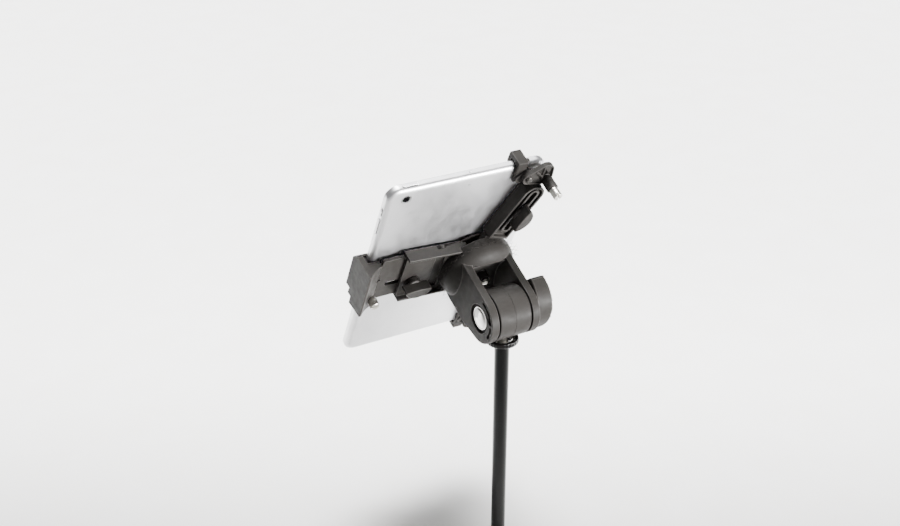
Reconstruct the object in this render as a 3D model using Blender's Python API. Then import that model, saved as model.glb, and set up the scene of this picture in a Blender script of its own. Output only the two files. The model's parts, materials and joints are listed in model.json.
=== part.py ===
"""Tablet prompter: a small tablet in a three-arm holder that tilts on top of a stand rod.

The rod stands on +Z with its lower end at the origin. Everything above the knuckle is modelled
in the head's own frame, whose origin is the tilt axis: +X across the tablet, +Y towards the
reader, +Z up along the tablet. The head empty turns that frame to its resting tilt.
"""

import math

import bmesh
import bpy
from mathutils import Vector

MM = 0.001
GAP = 0.3  # clearance between touching pieces, mm as all sizes below

# stand rod and hinge
HINGE_HEIGHT = 230.0
ROD_RADIUS = 6.0
ROD_WALL = 1.2
STUD_RADIUS = 4.0
LOCK_RING_RADIUS = 13.3
LOCK_RING_TOP = -21.6
LOCK_RING_BOTTOM = -27.6
REST_TILT = math.radians(27.7)

# knuckle and fork
DRUM_RADIUS = 20.3
EAR_INNER = 15.2
EAR_OUTER = 21.6
EAR_RADIUS = 20.5
BOLT_RADIUS = 4.0
CAP_RADIUS = 9.4
CAP_RECESS_RADIUS = 11.8
HUB_RADIUS = 31.5
HUB_FRONT = 50.3
FORK_THROAT_RADIUS = 38.5

# tablet, seen in the head's frame
TABLET_WIDTH = 134.7
TABLET_HEIGHT = 200.0
TABLET_DEPTH = 7.2
TABLET_CORNER = 10.0
TABLET_LEFT = -92.0
TABLET_FRONT = 67.0
TABLET_BACK = TABLET_FRONT - TABLET_DEPTH
TABLET_MIDDLE = TABLET_LEFT + TABLET_WIDTH / 2
TABLET_TOP = TABLET_HEIGHT / 2
SWITCH_TRAVEL = 1.8

# left arm
CHANNEL_MOUTH = -66.0
CHANNEL_ROOT = -30.4
CHANNEL_HUB_END = -12.0
CHANNEL_LOW = (-21.0, -24.5)  # at the mouth and at the hub end
CHANNEL_HIGH = (30.0, 25.2)
CHANNEL_FRONT = 57.0
CHANNEL_WALL = 2.2
RAIL_BACK = 46.0
WEB_BACK = 50.0
ARM_FRONT = 58.5
PLATE_LOW = -18.4
PLATE_HIGH = 27.2
PLATE_BACK = 53.0
PLATE_FRONT = 56.0
PLATE_END = -31.0
JAW_OUTER = -99.5
JAW_INNER = -94.5
JAW_BACK = 44.0
LEFT_KNOB = (-56.0, -2.5)
LEFT_LOCK = (-87.2, -16.0)

# upper and lower arms, which mirror each other in z
ARM_ANGLE = math.radians(21.0)
ARM_START = 32.6
ARM_END = 91.0
ARM_HALF = 9.75
ARM_BACK = 47.0
ARM_SLOT = (42.0, 86.0)
SLOT_HALF = 2.6
SLIDER_HALF = 6.0
SLIDER_BACK = 52.0
SLIDER_FRONT = 57.0
KNOB_STATION = 63.0
ROOT_BACK = HUB_FRONT + GAP
ROOT_FRONT = 55.2
LOCK_PIN = (38.0, 89.6)
JAW_PIVOT = (21.5, 93.5)
JAW_SIDES = (12.5, 21.0)
JAW_TOP = 106.0
JAW_WALL_BACK = 56.6
JAW_WALL_FRONT = 59.4
LIP_BACK = 67.4
LIP_FRONT = 71.3
LINK_BACK = 50.0
LINK_FRONT = 54.0

# clamp knobs of the arms
KNOB_HALF_CHORD = 11.5
KNOB_HEAD_BACK = 36.5
KNOB_HEAD_FRONT = 45.6
CLAMP_RADIUS = 2.0

for old in list(bpy.data.objects):
    bpy.data.objects.remove(old, do_unlink=True)


# materials


def material(name, color, roughness, metallic=0.0):
    """A Principled material in one plain colour."""
    made = bpy.data.materials.new(name)
    made.use_nodes = True
    shader = made.node_tree.nodes["Principled BSDF"]
    shader.inputs["Base Color"].default_value = (*color, 1.0)
    shader.inputs["Roughness"].default_value = roughness
    shader.inputs["Metallic"].default_value = metallic
    return made


NYLON = material("black_nylon", (0.030, 0.027, 0.025), 0.50)
LACQUER = material("black_lacquer", (0.012, 0.012, 0.013), 0.18)
STEEL = material("zinc_steel", (0.62, 0.62, 0.60), 0.32, 1.0)
CHROME = material("polished_cap", (0.80, 0.80, 0.80), 0.10, 1.0)
BRASS = material("brass", (0.72, 0.53, 0.25), 0.35, 1.0)
RUBBER = material("black_rubber", (0.018, 0.018, 0.018), 0.85)
SHELL = material("bead_blasted_aluminium", (0.66, 0.67, 0.69), 0.38, 1.0)
GLASS = material("dark_glass", (0.010, 0.010, 0.012), 0.06)
DISPLAY = material("display_panel", (0.020, 0.022, 0.028), 0.30)
CELL = material("battery_foil", (0.16, 0.16, 0.17), 0.45)
BOARD = material("circuit_board", (0.012, 0.060, 0.030), 0.50)


# placing, cutting and joining


def empty(name, place, parent=None):
    """An empty on a joint's axis. Its stored home is its place in its parent's frame chain."""
    made = bpy.data.objects.new(name, None)
    bpy.context.scene.collection.objects.link(made)
    home = Vector(place)
    made.location = (home - Vector(parent["home"] if parent else (0, 0, 0))) * MM
    made.parent = parent
    made["home"] = list(home)
    return made


def add_object(name, mesh, look, parent):
    """Puts a mesh, drawn in the frame of the parent's chain, under its parent."""
    made = bpy.data.objects.new(name, mesh)
    bpy.context.scene.collection.objects.link(made)
    mesh.materials.append(look)
    mesh.shade_smooth()
    mesh.set_sharp_from_angle(angle=math.radians(35))
    made.parent = parent
    made.location = -Vector(parent["home"]) * MM
    return made


def finish_mesh(name, bm):
    bmesh.ops.recalc_face_normals(bm, faces=bm.faces)
    mesh = bpy.data.meshes.new(name)
    bm.to_mesh(mesh)
    bm.free()
    return mesh


def prism(name, outline, axis, low, high, look, parent, bevel=0.0):
    """Extrudes an outline along an axis. The outline's pairs are the other two axes, in order."""
    bm = bmesh.new()

    def corner(pair, along):
        place = list(pair)
        place.insert("xyz".index(axis), along)
        return bm.verts.new(Vector(place) * MM)

    rings = [[corner(pair, along) for pair in outline] for along in (low, high)]
    bm.faces.new(rings[0])
    bm.faces.new(rings[1][::-1])
    count = len(outline)
    for i in range(count):
        j = (i + 1) % count
        bm.faces.new((rings[0][i], rings[0][j], rings[1][j], rings[1][i]))
    if bevel:
        rims = [e for ring in rings for e in bm.edges if all(v in ring for v in e.verts)]
        bmesh.ops.bevel(bm, geom=rims, offset=bevel * MM, segments=2, affect="EDGES")
    return add_object(name, finish_mesh(name, bm), look, parent)


def lathe(name, profile, axis, centre, look, parent, sides=40):
    """Turns a closed profile of (along, radius) pairs about an axis through the centre."""
    bm = bmesh.new()
    spin = "xyz".index(axis)
    others = [i for i in range(3) if i != spin]
    rings = []
    for along, radius in profile:
        ring = []
        for k in range(sides if radius > 0 else 1):
            turn = math.tau * k / sides
            place = list(centre)
            place[spin] += along
            place[others[0]] += radius * math.cos(turn)
            place[others[1]] += radius * math.sin(turn)
            ring.append(bm.verts.new(Vector(place) * MM))
        rings.append(ring)
    for i, ring in enumerate(rings):
        after = rings[(i + 1) % len(rings)]
        if len(ring) == 1 and len(after) == 1:
            continue
        for k in range(sides):
            j = (k + 1) % sides
            pairs = [(ring, k), (ring, j), (after, j), (after, k)]
            bm.faces.new(list(dict.fromkeys(row[at % len(row)] for row, at in pairs)))
    return add_object(name, finish_mesh(name, bm), look, parent)


def disc(name, axis, centre, low, high, radius, look, parent, bore=0.0, sides=40):
    """A round bar or washer between two stations along its axis."""
    profile = [(low, bore), (low, radius), (high, radius), (high, bore)]
    return lathe(name, profile, axis, centre, look, parent, sides)


def combine(base, tool, operation="DIFFERENCE"):
    """Cuts, joins or trims the base with a tool, which then stays as a hidden guide."""
    step = base.modifiers.new(tool.name, "BOOLEAN")
    step.operation = operation
    step.solver = "EXACT"
    step.object = tool
    tool.hide_render = True
    tool.display_type = "WIRE"


def box(low, high):
    """Corner pairs of a rectangle, given its low and high corners."""
    return [(low[0], low[1]), (high[0], low[1]), (high[0], high[1]), (low[0], high[1])]


def arc(centre, radius, start, end, steps):
    """Points along an arc, with the angles in degrees."""
    turns = [math.radians(start + (end - start) * k / steps) for k in range(steps + 1)]
    return [(centre[0] + radius * math.cos(a), centre[1] + radius * math.sin(a)) for a in turns]


def hull(circles, steps=6):
    """Outline round a convex chain of circles, each ((x, z), radius), listed anticlockwise."""
    points = []
    count = len(circles)
    for i, (centre, radius) in enumerate(circles):
        before, after = circles[i - 1], circles[(i + 1) % count]
        start = tangent_angle(before, (centre, radius))
        end = tangent_angle((centre, radius), after)
        while end < start:
            end += 360
        points += arc(centre, radius, start, end, steps)
    return points


def tangent_angle(first, second):
    """Direction in degrees of the outside normal of the tangent from one circle to the next."""
    dx = second[0][0] - first[0][0]
    dz = second[0][1] - first[0][1]
    lean = math.asin((first[1] - second[1]) / math.hypot(dx, dz))
    return math.degrees(math.atan2(dz, dx) - math.pi / 2 + lean)


def rounded(low, high, radius, steps=6):
    """A rectangle with round corners."""
    return (
        arc((high[0] - radius, low[1] + radius), radius, -90, 0, steps)
        + arc((high[0] - radius, high[1] - radius), radius, 0, 90, steps)
        + arc((low[0] + radius, high[1] - radius), radius, 90, 180, steps)
        + arc((low[0] + radius, low[1] + radius), radius, 180, 270, steps)
    )


# stand rod, lock ring and knuckle, in the world's frame

ROD = empty("rod_base", (0, 0, 0))
TOP = (0, 0, HINGE_HEIGHT)
ROD_TOP = LOCK_RING_BOTTOM - GAP


def make_rod():
    """A painted tube with a plug in its lower end and a threaded stud in its top."""
    disc("rod_tube", "z", (0, 0, 0), 3.0 + GAP, HINGE_HEIGHT + ROD_TOP, ROD_RADIUS, LACQUER, ROD,
         bore=ROD_RADIUS - ROD_WALL, sides=32)
    inside = ROD_RADIUS - ROD_WALL - GAP
    lathe("rod_end_plug", [(0, 0), (0, ROD_RADIUS), (3, ROD_RADIUS), (3, inside), (18, inside), (18, 0)],
          "z", (0, 0, 0), NYLON, ROD, sides=32)
    lathe("rod_top_stud", [(ROD_TOP - 16, 0), (ROD_TOP - 16, inside), (ROD_TOP - 1, inside),
                           (ROD_TOP - 1, STUD_RADIUS), (-8.5, STUD_RADIUS), (-7.5, STUD_RADIUS - 0.8),
                           (-7.5, 0)],
          "z", TOP, STEEL, ROD, sides=24)


def make_lock_ring():
    """A dished nut that locks the knuckle's pan, with a bright dish washer inside its rim."""
    body = empty("lock_ring_axis", (0, 0, HINGE_HEIGHT + LOCK_RING_BOTTOM))
    bore = STUD_RADIUS + GAP
    low, high, rim = LOCK_RING_BOTTOM, LOCK_RING_TOP, LOCK_RING_RADIUS
    lathe("lock_ring", [(low, bore), (low, 8.5), (low + 1.2, rim - 1.2), (low + 2.4, rim), (high - 1.0, rim),
                        (high, rim - 0.8), (high, rim - 2.2), (low + 3.0, rim - 3.6), (low + 3.0, bore)],
          "z", TOP, NYLON, body)
    lathe("lock_ring_dish", [(low + 3.3, bore), (low + 3.3, rim - 4.1), (high - 1.0, rim - 3.0),
                             (high - 0.6, rim - 3.4), (low + 4.2, rim - 5.4), (low + 4.2, bore)],
          "z", TOP, CHROME, body)


def make_knuckle():
    """The drum in two halves on the rod's stud, its threaded insert and the friction washers."""
    body = empty("knuckle_axis", TOP)
    half_width = EAR_INNER - 1.3
    insert_radius = 6.5
    for side, sign in (("left", -1), ("right", 1)):
        near, far = sorted((sign * GAP / 2, sign * half_width))
        half = disc("knuckle_" + side, "x", TOP, near, far, DRUM_RADIUS, NYLON, body,
                    bore=BOLT_RADIUS + GAP, sides=48)
        pocket = disc("knuckle_pocket_" + side, "z", TOP, -DRUM_RADIUS - 1, -5.7, insert_radius + GAP,
                      NYLON, body, sides=24)
        combine(half, pocket)
        low, high = sorted((sign * (half_width + GAP), sign * (EAR_INNER - GAP)))
        disc("friction_washer_" + side, "x", TOP, low, high, DRUM_RADIUS - 1.5, RUBBER, body,
             bore=BOLT_RADIUS + GAP)
    disc("knuckle_insert", "z", TOP, -DRUM_RADIUS + 0.2, -6.0, insert_radius, BRASS, body,
         bore=STUD_RADIUS + GAP, sides=24)


# tilting head

HEAD = empty("tilt_axis", TOP)
HEAD.rotation_euler = (REST_TILT, 0, 0)
HEAD["home"] = [0.0, 0.0, 0.0]


def make_hub_shell():
    """Domed hub and fork in one moulding: dome, two ears, open throat and a screw boss."""
    dome = [(30.0, 0), (30.0, 15.5), (31.0, 17.5), (33.0, 21.6), (36.0, 25.8), (40.0, 29.2), (44.0, 31.0),
            (48.0, HUB_RADIUS), (HUB_FRONT, HUB_RADIUS), (HUB_FRONT, 26.5), (43.5, 26.5), (43.5, 0)]
    hub = lathe("hub_shell", dome, "y", (0, 0, 0), NYLON, HEAD, sides=56)
    throat = disc("hub_throat", "x", (0, 0, 0), -EAR_INNER, EAR_INNER, FORK_THROAT_RADIUS, NYLON, HEAD,
                  sides=56)
    combine(hub, throat)
    outline = arc((0, 0), EAR_RADIUS, 90, 262, 20) + [(16, -24.2), (38, -25.0), (47, -24.0), (47, 19.6),
                                                      (36, 20.3)]
    for side, sign in (("left", -1), ("right", 1)):
        low, high = sorted((sign * EAR_INNER, sign * EAR_OUTER))
        ear = prism("ear_" + side, outline, "x", low, high, NYLON, HEAD)
        combine(hub, ear, "UNION")
        hole = disc("ear_hole_" + side, "x", (0, 0, 0), low - 1, high + 1, BOLT_RADIUS + GAP, NYLON, HEAD,
                    sides=24)
        combine(hub, hole)
    combine(hub, disc("cap_recess", "x", (0, 0, 0), -EAR_OUTER - 1, -EAR_OUTER + 2.4, CAP_RECESS_RADIUS,
                      NYLON, HEAD))
    combine(hub, disc("bolt_head_recess", "x", (0, 0, 0), -EAR_OUTER - 1, -16.8, 7.6, NYLON, HEAD, sides=24))
    hollow = disc("hub_hollow", "y", (0, 0, 0), 42.0, HUB_FRONT + 1, 26.5, NYLON, HEAD)
    combine(hub, hollow)
    boss = disc("screw_boss", "y", (0, 0, 0), 31.5, 41.0, 5.2, NYLON, HEAD, sides=24)
    combine(hub, boss, "UNION")
    combine(hub, disc("screw_way", "y", (0, 0, 0), 30.0, 44.0, 2.0, NYLON, HEAD, sides=16))


def make_hub_cover():
    """Front cover of the hub, with the post that the fork's screw bites into."""
    lathe("hub_cover", [(42.3, 1.9), (42.3, 5.0), (55.5, 5.0), (55.5, 29.0), (57.6, 29.0), (58.3, 28.0),
                        (58.3, 0),
                        (54.0, 0), (54.0, 1.9)], "y", (0, 0, 0), NYLON, HEAD)
    lathe("fork_screw", [(29.2, 0), (29.2, 2.4), (29.8, 3.2), (31.2, 3.2), (31.2, 1.6), (53.5, 1.6),
                         (53.5, 0)],
          "y", (0, 0, 0), STEEL, HEAD, sides=20)


def make_tilt_bolt():
    """The bolt through both ears and the drum, and the polished cap that hides its head."""
    lathe("tilt_bolt", [(-18.9, 0), (-18.9, 7.2), (-17.0, 7.2), (-17.0, BOLT_RADIUS), (30.5, BOLT_RADIUS),
                        (31.2, BOLT_RADIUS - 0.8), (31.2, 0)], "x", (0, 0, 0), STEEL, HEAD, sides=24)
    lathe("bolt_cap", [(-19.2, 0), (-21.6, 0), (-21.4, 4.0), (-20.9, 7.0), (-20.2, CAP_RADIUS - 0.2),
                       (-19.8, CAP_RADIUS), (-19.2, CAP_RADIUS)], "x", (0, 0, 0), CHROME, HEAD)


def lens_outline(half_length, sagitta, lean, steps=10):
    """Two equal arcs that meet in blunt tips, turned by the lean in radians."""
    radius = (half_length**2 + sagitta**2) / (2 * sagitta)
    spread = math.degrees(math.asin(half_length / radius)) * 0.97
    points = []
    for side in (1, -1):
        centre = (-side * (radius - sagitta), 0)
        turn = 0 if side > 0 else 180
        points += arc(centre, radius, turn - spread, turn + spread, steps)
    cos, sin = math.cos(lean), math.sin(lean)
    return [(a * cos - b * sin, a * sin + b * cos) for a, b in points]


def make_tilt_knob():
    """Wing knob on the right ear with its brass nut."""
    body = empty("tilt_knob_axis", (0, 0, 0), HEAD)
    boss_start = EAR_OUTER + GAP
    boss = disc("tilt_knob", "x", (0, 0, 0), boss_start, 27.0, 10.0, NYLON, body)
    wing = prism("tilt_knob_wing", lens_outline(24.5, 14.0, math.radians(-23)), "x", 23.6, 38.5, NYLON,
                 body, bevel=1.6)
    combine(boss, wing, "UNION")
    combine(boss, disc("nut_pocket", "x", (0, 0, 0), 20.0, 32.0, 6.5, NYLON, body, sides=24))
    disc("tilt_knob_nut", "x", (0, 0, 0), boss_start + 0.4, 31.4, 6.2, BRASS, body, bore=BOLT_RADIUS + GAP,
         sides=24)


# left arm


def make_left_channel():
    """Channel that guides the left slide plate: two low walls, a web and a root under the hub."""
    outline, recess = (
        [(CHANNEL_MOUTH - spare, CHANNEL_LOW[0] + wall), (CHANNEL_HUB_END + spare, CHANNEL_LOW[1] + wall),
         (CHANNEL_HUB_END + spare, CHANNEL_HIGH[1] - wall), (CHANNEL_MOUTH - spare, CHANNEL_HIGH[0] - wall)]
        for spare, wall in ((0.0, 0.0), (1.0, CHANNEL_WALL)))
    channel = prism("left_channel", outline, "y", RAIL_BACK, CHANNEL_FRONT, NYLON, HEAD)
    combine(channel, prism("web_recess", recess, "y", RAIL_BACK - 1, WEB_BACK, NYLON, HEAD))
    combine(channel, disc("dome_relief", "y", (0, 0, 0), 30.0, ROOT_BACK, HUB_RADIUS + 0.8, NYLON, HEAD,
                          sides=56))
    combine(channel, disc("cover_relief", "y", (0, 0, 0), ROOT_FRONT, CHANNEL_FRONT + 1, 29.0 + 2 * GAP,
                          NYLON, HEAD, sides=56))
    combine(channel, prism("plate_way", box((PLATE_BACK - GAP, PLATE_LOW - GAP),
                                            (PLATE_FRONT + GAP, PLATE_HIGH + GAP)),
                           "x", CHANNEL_MOUTH - 1, CHANNEL_ROOT - 0.5, NYLON, HEAD))
    combine(channel, disc("left_clamp_hole", "y", (LEFT_KNOB[0], 0, LEFT_KNOB[1]), 48.0, 54.0,
                          CLAMP_RADIUS + GAP, NYLON, HEAD, sides=16))


def make_left_slider():
    """Slotted slide plate with the jaw block at its outer end, its pads and lock screw."""
    body = empty("left_slide_axis", (JAW_INNER, PLATE_BACK, 0), HEAD)
    plate = prism("left_slide_plate", rounded((-84.7, PLATE_LOW), (PLATE_END, PLATE_HIGH), 1.0, 2), "y",
                  PLATE_BACK, PLATE_FRONT, NYLON, body)
    slot_low, slot_high = LEFT_KNOB[1] - 2.5, LEFT_KNOB[1] + 2.5
    combine(plate, prism("left_slot", rounded((-78.0, slot_low), (-34.5, slot_high), 2.4, 4), "y",
                         PLATE_BACK - 1, PLATE_FRONT + 1, NYLON, body))

    section = [(JAW_OUTER, JAW_BACK), (JAW_OUTER, 73.0), (-88.0, 72.4), (-88.0, 67.5), (JAW_INNER, 67.5),
               (JAW_INNER, 59.3), (-85.0, 59.3), (-85.0, 52.6), (-90.0, 50.6), (-94.5, 47.4),
               (-97.8, JAW_BACK)]
    jaw = prism("left_jaw", section, "z", -32.0, 26.0, NYLON, body)
    face = [(40.0, 24.8), (67.0, 21.6), (72.4, 16.0), (76.0, 16.0), (76.0, -17.6), (67.2, -16.4),
            (67.6, -22.8),
            (62.8, -22.0), (62.6, -30.0), (43.0, -25.0), (40.0, -25.0)]
    combine(jaw, prism("left_jaw_face", face, "x", JAW_OUTER - 1, -80.0, NYLON, body), "INTERSECT")
    lock_x, lock_z = LEFT_LOCK
    combine(jaw, disc("left_lock_hole", "y", (lock_x, 0, lock_z), 40.0, 57.0, 2.6, NYLON, body, sides=16))
    prism("left_jaw_pad", box((JAW_INNER + GAP, 60.2), (-92.3, 66.6)), "z", -20.0, 20.0, RUBBER, body)

    lock = empty("left_lock_axis", (lock_x, 50.0, lock_z), body)
    make_slotted_screw("left_lock_screw", (lock_x, lock_z), 43.5, 49.6, 56.5, 3.9, lock)

    knob = empty("left_knob_axis", (LEFT_KNOB[0], WEB_BACK, LEFT_KNOB[1]), HEAD)
    make_clamp_knob("left_knob", LEFT_KNOB, WEB_BACK - GAP, PLATE_FRONT, 0.0, 1, knob)


def make_slotted_screw(name, place, head_back, head_front, tip, radius, parent):
    """A bright screw along y with a slot across the end of its cheese head."""
    centre = (place[0], 0, place[1])
    screw = lathe(name, [(head_back, 0), (head_back, radius - 0.5), (head_back + 0.6, radius),
                         (head_front, radius),
                         (head_front, 2.2), (tip, 2.2), (tip, 0)], "y", centre, STEEL, parent, sides=24)
    low = (place[0] - radius - 1, head_back - 1)
    high = (place[0] + radius + 1, head_back + 2.2)
    combine(screw, prism(name + "_slot", box(low, high), "z", place[1] - 0.7, place[1] + 0.7, STEEL, parent))


def make_clamp_knob(name, place, neck_front, nut_back, turn, flip, parent):
    """Knob with a half-moon head on a short neck. Its steel screw reaches through to the nut."""
    x, z = place
    radius = (KNOB_HALF_CHORD**2 + 8.0**2) / 16.0
    half = math.degrees(math.asin(KNOB_HALF_CHORD / radius))
    curve = arc((0, -4.8 + radius), radius, -90 - half, -90 + half, 12)
    flat = [(KNOB_HALF_CHORD * 0.55, 4.6), (-KNOB_HALF_CHORD * 0.55, 4.6)]
    cos, sin = math.cos(turn), math.sin(turn)
    head = [(x + a * cos - b * sin, z + flip * (a * sin + b * cos)) for a, b in curve + flat]
    knob = disc(name, "y", (x, 0, z), KNOB_HEAD_FRONT - 1, neck_front, 6.2, NYLON, parent, sides=28)
    combine(knob, prism(name + "_head", head, "y", KNOB_HEAD_BACK, KNOB_HEAD_FRONT, NYLON, parent, bevel=0.8),
            "UNION")
    combine(knob, disc(name + "_bore", "y", (x, 0, z), 39.0, neck_front + 1, CLAMP_RADIUS + 0.2, NYLON,
                       parent,
                       sides=16))
    disc(name + "_screw", "y", (x, 0, z), 39.3, nut_back - 0.5, CLAMP_RADIUS, STEEL, parent, sides=16)


# upper and lower arms


def arm_point(along, across, flip):
    """A point of the arm in the head's x and z, from its distance along and across the arm."""
    cos, sin = math.cos(ARM_ANGLE), math.sin(ARM_ANGLE)
    return (along * sin + across * cos, flip * (along * cos - across * sin))


def arm_outline(points, flip):
    return [arm_point(along, across, flip) for along, across in points]


def arm_bar(start, end, half, round_end, flip):
    """Outline of a bar along the arm, with a square or a round outer end."""
    if not round_end:
        return arm_outline([(start, -half), (end, -half), (end, half), (start, half)], flip)
    tip = arc((end - half, 0), half, -90, 90, 10)
    return arm_outline([(start, -half)] + tip + [(start, half)], flip)


def make_arm(side, flip):
    """Fixed arm: a hollow bar with a slotted back, open at its outer end, and a root under the hub."""
    arm = prism(side + "_arm", arm_bar(ARM_START, ARM_END, ARM_HALF, True, flip), "y", ARM_BACK, ARM_FRONT,
                NYLON, HEAD)
    root = prism(side + "_root", arm_bar(12.0, ARM_START + 2, ARM_HALF, False, flip), "y", ROOT_BACK,
                 ROOT_FRONT,
                 NYLON, HEAD)
    combine(arm, root, "UNION")
    way = SLIDER_HALF + GAP
    combine(arm, prism(side + "_slider_way", arm_bar(36.0, ARM_END + 1, way, False, flip), "y",
                       SLIDER_BACK - GAP, SLIDER_FRONT + GAP, NYLON, HEAD))
    slot_start, slot_end = ARM_SLOT
    slot = (arc((slot_end - SLOT_HALF, 0), SLOT_HALF, -90, 90, 6)
            + arc((slot_start + SLOT_HALF, 0), SLOT_HALF, 90, 270, 6))
    combine(arm, prism(side + "_slot", arm_outline(slot, flip), "y", ARM_BACK - 1, SLIDER_BACK, NYLON, HEAD))


def make_slider(side, flip):
    """Sliding bar with an eye for the lock screw, and the clamp knob that travels with it."""
    knob_x, knob_z = arm_point(KNOB_STATION, 0, flip)
    pin_x, pin_z = LOCK_PIN[0], flip * LOCK_PIN[1]
    body = empty(side + "_slide_axis", (knob_x, SLIDER_BACK, knob_z), HEAD)
    slider = prism(side + "_slider", arm_bar(40.0, 89.5, SLIDER_HALF, False, flip), "y", SLIDER_BACK,
                   SLIDER_FRONT,
                   NYLON, body)
    eye = hull([((pin_x, pin_z), 6.5), (arm_point(90.5, -0.2, flip), 5.9)])
    combine(slider, prism(side + "_eye", eye, "y", LINK_FRONT + GAP, SLIDER_FRONT, NYLON, body), "UNION")
    combine(slider, disc(side + "_eye_hole", "y", (pin_x, 0, pin_z), 50.0, 60.0, 2.6, NYLON, body, sides=16))
    combine(slider, disc(side + "_clamp_hole", "y", (knob_x, 0, knob_z), 50.0, 60.0, CLAMP_RADIUS + GAP,
                         NYLON, body,
                         sides=16))
    knob = empty(side + "_knob_axis", (knob_x, ARM_BACK, knob_z), body)
    make_clamp_knob(side + "_knob", (knob_x, knob_z), ARM_BACK - GAP, SLIDER_FRONT, math.pi / 2 - ARM_ANGLE,
                    flip, knob)
    return body


def make_link(side, flip, slider):
    """Link that swings on the lock screw, with the screw and its sleeve."""
    pin = (LOCK_PIN[0], flip * LOCK_PIN[1])
    pivot = (JAW_PIVOT[0], flip * JAW_PIVOT[1])
    shoulder = (34.5, flip * 98.0)
    body = empty(side + "_link_axis", (pin[0], LINK_BACK, pin[1]), slider)
    chain = [(pin, 5.4), (shoulder, 7.6), (pivot, 5.4)]
    link = prism(side + "_link", hull(chain if flip > 0 else chain[::-1]), "y", LINK_BACK, LINK_FRONT,
                 NYLON, body)
    combine(link, disc(side + "_link_hole", "y", (pin[0], 0, pin[1]), 48.0, 56.0, 2.6, NYLON, body, sides=16))
    combine(link, disc(side + "_rivet_hole", "y", (pivot[0], 0, pivot[1]), 48.0, 56.0, 1.9, NYLON, body,
                       sides=16))

    lock = empty(side + "_lock_axis", (pin[0], LINK_BACK, pin[1]), slider)
    lathe(side + "_lock_sleeve", [(39.3, 2.5), (39.3, 3.9), (40.2, 4.5), (49.0, 4.5), (49.7, 4.0),
                                  (49.7, 2.5)],
          "y", (pin[0], 0, pin[1]), NYLON, lock, sides=28)
    make_slotted_screw(side + "_lock_screw", pin, 31.0, 39.0, 57.2, 3.5, lock)
    return body


def make_jaw(side, flip, link):
    """Hooked jaw that grips the tablet's edge, with its rubber pad and pivot rivet."""
    pivot = (JAW_PIVOT[0], flip * JAW_PIVOT[1])
    body = empty(side + "_jaw_axis", (pivot[0], LINK_BACK, pivot[1]), link)
    hook = [(JAW_WALL_BACK, 86.0), (JAW_WALL_FRONT, 86.0), (JAW_WALL_FRONT, 101.6), (LIP_BACK, 101.6),
            (LIP_BACK, 95.0), (LIP_FRONT - 0.6, 95.0), (LIP_FRONT, 96.5), (LIP_FRONT, JAW_TOP - 1.5),
            (LIP_FRONT - 1.5, JAW_TOP), (JAW_WALL_BACK + 1.0, JAW_TOP), (JAW_WALL_BACK, JAW_TOP - 1.0)]
    left, right = JAW_SIDES
    jaw = prism(side + "_jaw", [(y, flip * z) for y, z in hook], "x", left, right, NYLON, body)
    foot = hull([((pivot[0], pivot[1]), 5.2), ((17.0, flip * 91.0), 4.4)])
    combine(jaw, prism(side + "_jaw_foot", foot, "y", LINK_FRONT + GAP, JAW_WALL_FRONT - 0.4, NYLON, body),
            "UNION")
    combine(jaw, disc(side + "_jaw_hole", "y", (pivot[0], 0, pivot[1]), 52.0, 58.2, 1.9, NYLON, body,
                      sides=16))
    pad_low, pad_high = sorted((flip * (TABLET_TOP + GAP), flip * (101.6 - GAP)))
    prism(side + "_jaw_pad", box((left + 0.4, JAW_WALL_FRONT + 0.5), (right - 0.4, LIP_BACK - 0.5)), "z",
          pad_low, pad_high, RUBBER, body)
    lathe(side + "_jaw_rivet", [(48.6, 0), (48.6, 2.2), (49.1, 3.0), (49.7, 3.0), (49.7, 1.6), (57.9, 1.6),
                                (57.9, 0)],
          "y", (pivot[0], 0, pivot[1]), STEEL, body, sides=20)


# tablet


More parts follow.
